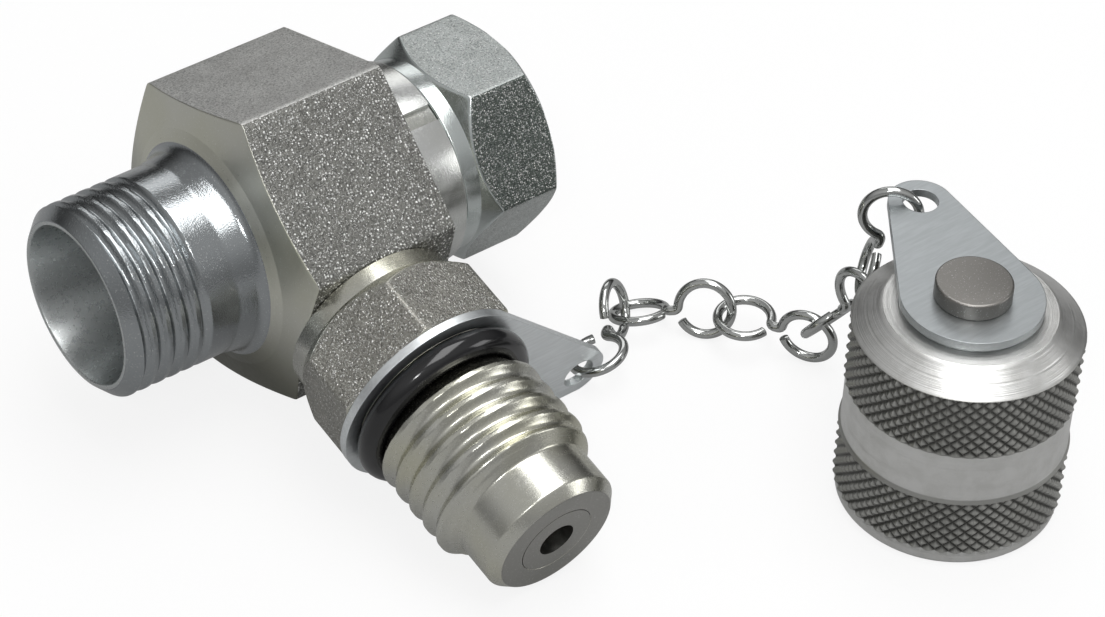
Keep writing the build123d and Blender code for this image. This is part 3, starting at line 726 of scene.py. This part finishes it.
def test_stud():
    """Seat, hexagon, ring groove, rounded cap thread, nose and the bore down to the inlet."""
    start = radians(TEST_TURN_DEG)
    outline = section(
        (INLET_R, PORT_END, 0.1),
        (PORT_R, PORT_END, 0.4),
        (PORT_R, SEAT_AT, 0.0),
        (SEAT_R, SEAT_AT, 0.1),
        (SEAT_R, SEAT_TOP, 0.1, SLOPE_CUT),
        (TEST_OVER_R, SEAT_TOP + TEST_SLOPE_BACK, 0.0, 0.5),
        (TEST_OVER_R, TEST_HEX_END - TEST_SLOPE_FRONT, 0.0, SLOPE_CUT),
        (TEST_FRONT_R, TEST_HEX_END, 0.0, 0.3),
        (THREAD_R, TEST_HEX_END, 0.05),
        (THREAD_R, GROOVE_AT, 0.05),
        (GROOVE_R, GROOVE_AT, 0.2),
        (GROOVE_R, GROOVE_SLOPE[0], 0.2),
        (THREAD_R, GROOVE_SLOPE[1], 0.3, 0.1),
        (THREAD_R, THREAD_SLOPE[0], 0.5, 0.1),
        (NOSE_R, THREAD_SLOPE[1], 0.35, 0.3),
        (NOSE_R, NOSE_TIP - NOSE_EDGE, 0.35),
        (NOSE_FACE_R, NOSE_TIP, 0.25),
        (INSERT_HOLE_R, NOSE_TIP, 0.08),
        (INSERT_HOLE_R, INSERT_AT, 0.0),
        (CHAMBER_R, INSERT_AT, 0.0),
        (CHAMBER_R, CHAMBER_FLOOR, 0.1),
        (INLET_R, CHAMBER_FLOOR, 0.05),
    )
    turn, station, radius = turned(turns(start), outline)
    radius -= (radius > GROOVE_R + 0.1) * thread_dip(turn, station, TEST_THREAD, -1.0, 0.9)
    radius = softened_least(radius, hexagon_radius(turn, TEST_AF, start), 0.05)
    finishes = [MILLED_TEST, TURNED_TEST, INNER_STEEL]
    milled, turned_test, inner = range(3)
    points = spun(BRANCH, radius, station, turn)
    thing = grid_object("test_stud_dressed", points, finishes, "coupling", "test_stud")

    def choose(at, facing):
        level = at @ PORT
        out = np.linalg.norm(at - level[:, None] * PORT, axis=1)
        hexagon = (level > SEAT_TOP) & (level < TEST_HEX_END - 0.1) & (out > 8.2)
        flat = hexagon & (np.abs(facing @ PORT) < SIDEWAYS)
        tip = (level > NOSE_TIP - 0.15) & (facing @ PORT > 0.8)
        return np.select([flat, tip], [milled, inner], turned_test)

    assign_by(thing, choose)


def dust_cap():
    """Two knurled bands with a plain one between, ringed slope, and the thread inside."""
    step = KNURL_RISE / KNURL_CUTS
    outline = section(
        (CAP_THREAD_R, CAP_LEAD, 0.1),
        (CAP_THREAD_R + CAP_LEAD, 0.0, 0.1),
        (CAP_FOOT_R, 0.0, 0.3),
        (CAP_RIM_R, CAP_FOOT_H, 0.3),
        (CAP_RIM_R, CAP_RIM_H, 0.1),
        (CAP_R, LOW_KNURL[0], 0.0, step),
        (CAP_R, LOW_KNURL[1], 0.05),
        (BAND_R, BAND[0], 0.05),
        (BAND_R, BAND[1], 0.05),
        (CAP_R, HIGH_KNURL[0], 0.0, step),
        (CAP_R, HIGH_KNURL[1], 0.12),
        (CAP_TOP_R, CAP_H, 0.15, 0.6),
        (CAP_HOLE_R, CAP_H, 0.05),
        (CAP_HOLE_R, CAP_DEPTH, 0.05),
        (CAP_RELIEF_R, CAP_DEPTH, 0.1),
        (CAP_RELIEF_R, CAP_RELIEF_AT, 0.1),
        (CAP_THREAD_R, CAP_RELIEF_AT, 0.1, 0.25),
    )
    turn, station, radius = turned(round_turns(KNURL_COUNT * KNURL_CUTS), outline)
    knurl = knurl_dip(turn, station, LOW_KNURL) + knurl_dip(turn, station, HIGH_KNURL)
    radius -= (radius > CAP_R - 0.1) * knurl
    radius += (radius < CAP_THREAD_R + 0.05) * thread_dip(turn, station, CAP_THREAD, -1.0)
    points = spun(UPRIGHT, radius, station, turn)
    grid_object("cap_dressed", points, [CAP_STEEL], "cap", "cap", sharp_deg=25.0)


def cap_rivet():
    """Shouldered rivet with a softly broken head."""
    outline = section(
        (0.0, RIVET_TAIL[0], 0.0),
        (RIVET_TAIL_R, RIVET_TAIL[0], 0.2),
        (RIVET_TAIL_R, RIVET_TAIL[1], 0.0),
        (RIVET_R, RIVET_TAIL[1], 0.0),
        (RIVET_R, RIVET_HEAD[0], 0.0),
        (RIVET_HEAD_R, RIVET_HEAD[0], 0.08),
        (RIVET_HEAD_R, RIVET_HEAD[1], 0.22),
        (0.0, RIVET_HEAD[1], 0.0),
    )
    turn, station, radius = turned(round_turns(96), outline)
    points = spun(UPRIGHT, radius, station, turn)
    grid_object("rivet_dressed", points, [RIVET_STEEL], "cap", "cap_rivet", along=False)


def dust_ring():
    """Black ring behind the cap's thread: a circle carried round the test stud's axis."""
    tube_r = DUST_RING_D / 2
    turn, tube = np.meshgrid(round_turns(RING_CUTS), round_turns(TUBE_CUTS))
    radius = GROOVE_R + SCREW_GAP + tube_r + tube_r * np.cos(tube)
    station = GROOVE_AT + SCREW_GAP + tube_r + tube_r * np.sin(tube)
    points = spun(BRANCH, radius, station, turn)
    grid_object("dust_ring_dressed", points, [RUBBER], "coupling", "dust_o_ring")


def split_strip():
    """Flat spring strip bent round the collar, open between two square ends, which are closed by
    drawing each end's outline in to its middle."""
    gap = STRIP_GAP / COLLAR_R / 2
    middle = radians(STRIP_GAP_DEG)
    outline = section(
        (STRIP_R, STRIP_X[0], 0.08),
        (STRIP_R, STRIP_X[1], 0.08),
        (STRIP_R + STRIP_T, STRIP_X[1], 0.16),
        (STRIP_R + STRIP_T, STRIP_X[0], 0.16),
    )
    angle = np.linspace(middle + gap, middle + 2 * pi - gap, 150)
    turn, station, radius = turned(angle, outline)
    points = spun(MAIN, radius, station, turn)
    first, last = (np.broadcast_to(points[:, k].mean(0), (len(points), 1, 3)) for k in (0, -1))
    points = np.concatenate([first, points, last], axis=1)
    grid_object(
        "split_ring_dressed", points, [BRIGHT_SPRING], "coupling", "split_ring", around=False
    )


# ------------------------------------------------------------------ the chain


def heading(turn_deg, rise_deg):
    """Direction from its angle counter-clockwise from +X and its rise above the table."""
    a, b = radians(turn_deg), radians(rise_deg)
    return np.array([cos(a) * cos(b), sin(a) * cos(b), sin(b)])


def unit(vector):
    return vector / np.linalg.norm(vector)


def strap_way(below, back=0.0):
    """Direction in the stud strap's plane, below the nut's side, leaning back to the body."""
    a, b = radians(below), radians(back)
    return (-AXIS_X * cos(a) - PORT_UP * sin(a)) * cos(b) - PORT * sin(b)


def rolled(pull, side, roll):
    """Side direction of a link after a roll about its pull, in degrees."""
    return side * cos(radians(roll)) + np.cross(pull, side) * sin(radians(roll))


def chain_frames():
    """Near end, pull and side of each link: each eye bears on the wire of the eye before it, and
    the first on the rim of the hole in the stud's strap."""
    rim_r = (STRAP_HOLE_R + STRAP_TIP_R) / 2
    hole = PORT * STRAP_MID + strap_way(STRAP_DOWN_DEG) * STRAP_REACH
    rim = hole + strap_way(FIRST_LINK_DEG) * rim_r
    pull = strap_way(FIRST_LINK_DEG, FIRST_LINK_BACK)
    near = rim - pull * ((STRAP_TIP_R - STRAP_HOLE_R) / 2 + WIRE_R + CHAIN_PLAY)
    side = rolled(pull, unit(np.cross(pull, PORT_UP)), FIRST_LINK_ROLL)
    frames = [(near, pull, side)]
    for turn, rise, roll in LINK_WAYS:
        follow = heading(turn, rise)
        bear = unit(follow - side * (follow @ side))
        near = near + pull * (LINK_L - EYE_R) + bear * EYE_R - follow * (2 * WIRE_R + CHAIN_PLAY)
        side = rolled(follow, unit(np.cross(AXIS_Z, follow)), roll)
        pull = follow
        frames.append((near, pull, side))
    return frames


def link_line(near, pull, side):
    """Centre line of a link: an eye beside the pull line, a shank, and an eye square to the first.
    Each half is a circle joined to the shank by a small reverse bend."""
    leave, cut = radians(EYE_LEAVE_DEG), radians(EYE_CUT_DEG)
    bend = EYE_R * sin(leave) / (1 - sin(leave))
    reach = EYE_R + (EYE_R + bend) * cos(leave)
    a = np.linspace(-cut, leave - 2 * pi, 64)
    b = np.linspace(pi + leave, 1.5 * pi, 10)[1:]
    along = np.concatenate([EYE_R + EYE_R * np.cos(a), reach + bend * np.cos(b)])[:, None]
    aside = np.concatenate([EYE_R * np.sin(a), bend + bend * np.sin(b)])[:, None]
    first = near + along * pull + aside * side
    last = near + (LINK_L - along) * pull + aside * np.cross(pull, side)
    return np.concatenate([first, last[::-1]])


def link_wire(number, near, pull, side):
    """One jack-chain link: a round section carried along its centre line on frames turned as
    little as possible, with domed ends of three shrinking circles."""
    line = link_line(near, pull, side)
    ahead = np.gradient(line, axis=0)
    ahead /= np.linalg.norm(ahead, axis=1)[:, None]
    east = unit(np.cross(ahead[0], np.cross(pull, side) + side))
    carried = []
    for step in ahead:
        east = unit(east - step * (east @ step))
        carried.append(east)
    easts = np.array(carried)
    norths = np.cross(ahead, easts)
    t = round_turns(WIRE_CUTS)[None, :, None]
    circles = WIRE_R * (np.cos(t) * easts[:, None] + np.sin(t) * norths[:, None])
    shrink = np.array([0.0, 0.55, 0.85])[:, None, None]
    push = np.array([0.08, 0.065, 0.03])[:, None, None]
    start = line[0] + shrink * circles[0] - push * ahead[0]
    end = line[-1] + shrink[::-1] * circles[-1] + push[::-1] * ahead[-1]
    points = np.concatenate([start, line[:, None] + circles, end])
    name = f"chain_link_{number}"
    body = f"link_{number}"
    grid_object(f"{name}_wire", points, [WIRE], body, name, along=False, sharp_deg=50.0)


# ------------------------------------------------------------------ scene, in metres

TABLE_HALF = 3.0
TABLE_UNDER = 0.00002  # below the part's lowest point
AIM = (0.0, 0.02, 0.0)
# name, place, watts, width and height: one above, one behind, a small one near, one beside
LAMPS = [
    ("key_lamp", (-0.06, 0.06, 0.47), 1.4, 0.5, 0.26),
    ("far_lamp", (-0.34, -0.46, 0.36), 0.35, 0.4, 0.24),
    ("near_lamp", (0.30, 0.33, 0.40), 0.4, 0.07, 0.07),
    ("side_lamp", (-0.40, 0.36, 0.14), 0.3, 0.2, 0.2),
]
CAMERA_AT = (0.158657, 0.227506, 0.226799)
CAMERA_TURN_DEG = (49.4358, -2.4171, 142.1279)
CAMERA_LENS = 130.317  # millimetres, on a sensor 36 wide


def table():
    """White table that the part lies on. The view sees it nearly white, with the part's shadow,
    bright metal mirrors a little of that white, and it throws less light back at the part."""
    mesh = bpy.data.meshes.new("table")
    z = FLOOR_Z * MM - TABLE_UNDER
    corners = [(x * TABLE_HALF, y * TABLE_HALF, z) for x, y in ((-1, -1), (1, -1), (1, 1), (-1, 1))]
    mesh.from_pydata(corners, [], [(0, 1, 2, 3)])
    floor = bpy.data.objects.new("table", mesh)
    bpy.context.collection.objects.link(floor)
    material, tree = new_material("table_white")
    shader = tree.nodes["Principled BSDF"]
    shader.inputs["Roughness"].default_value = 0.9
    rays = make(tree, "ShaderNodeLightPath").socket.node.outputs
    viewed = Wave(tree, rays["Is Camera Ray"])
    mirrored = Wave(tree, rays["Is Glossy Ray"])
    paint = viewed.blend((0.3, 0.3, 0.3), (0.95, 0.95, 0.95))
    tree.links.new(paint.socket, shader.inputs["Base Color"])
    white = make(tree, "ShaderNodeEmission", values={"Color": (1.0, 1.0, 1.0), "Strength": 1.0})
    share = (viewed + mirrored * 0.2) * 0.85
    mixed = make(tree, "ShaderNodeMixShader", values={0: share, 1: Wave(tree, shader.outputs[0]), 2: white})
    tree.links.new(mixed.socket, tree.nodes["Material Output"].inputs["Surface"])
    mesh.materials.append(material)


def lamps():
    """Four soft lamps, all turned to the part."""
    for name, where, energy, width, height in LAMPS:
        data = bpy.data.lights.new(name, "AREA")
        data.shape = "RECTANGLE"
        data.size, data.size_y, data.energy = width, height, energy
        lamp = bpy.data.objects.new(name, data)
        bpy.context.collection.objects.link(lamp)
        lamp.location = where
        lamp.rotation_euler = (Vector(AIM) - Vector(where)).to_track_quat("-Z", "Y").to_euler()


def room():
    """Dim room for the metal to mirror, brighter behind the viewer and overhead."""
    world = bpy.data.worlds.new("room")
    bpy.context.scene.world = world
    world.use_nodes = True
    tree = world.node_tree
    way = make(tree, "ShaderNodeTexCoord")
    side = way.dot((0.55, 0.83, 0.0)).between(-0.9, 0.8, 0.04, 0.3)
    high = way.dot((0.0, 0.0, 1.0)).between(0.1, 0.7, 0.0, 0.3)
    background = tree.nodes["Background"]
    tree.links.new((side + high).socket, background.inputs["Strength"])
    background.inputs["Color"].default_value = (1.0, 1.0, 1.0, 1.0)


def camera():
    """Long lens looking down at the part from the tube stud's front corner."""
    data = bpy.data.cameras.new("view")
    data.sensor_width = 36.0
    data.lens = CAMERA_LENS
    data.clip_start, data.clip_end = 0.01, 20.0
    view = bpy.data.objects.new("view", data)
    bpy.context.collection.objects.link(view)
    turn = Euler([radians(angle) for angle in CAMERA_TURN_DEG])
    view.matrix_world = Matrix.LocRotScale(Vector(CAMERA_AT), turn, None)
    bpy.context.scene.camera = view
    bpy.context.scene.view_settings.view_transform = "Standard"


def dress_nodes(finish, *names):
    """CAD nodes that keep their shape get their finish."""
    for name in names:
        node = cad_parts[name]
        node.data.materials.clear()
        node.data.materials.append(finish)


camera()
table()
lamps()
room()
coupling_body()
swivel_nut()
test_stud()
dust_cap()
cap_rivet()
split_strip()
dust_ring()
for number, link in enumerate(chain_frames(), 1):
    link_wire(number, *link)
dress_nodes(STUD_SHEET_LIT, "stud_strap")
dress_nodes(CAP_SHEET_SHADED, "cap_strap", "cap_washer")
dress_nodes(RUBBER, "cone_o_ring", "port_o_ring", "poppet_o_ring", "cap_seal")
dress_nodes(INNER_STEEL, "valve_insert", "valve_poppet")
dress_nodes(BRIGHT_SPRING, "nut_wire", "valve_spring")
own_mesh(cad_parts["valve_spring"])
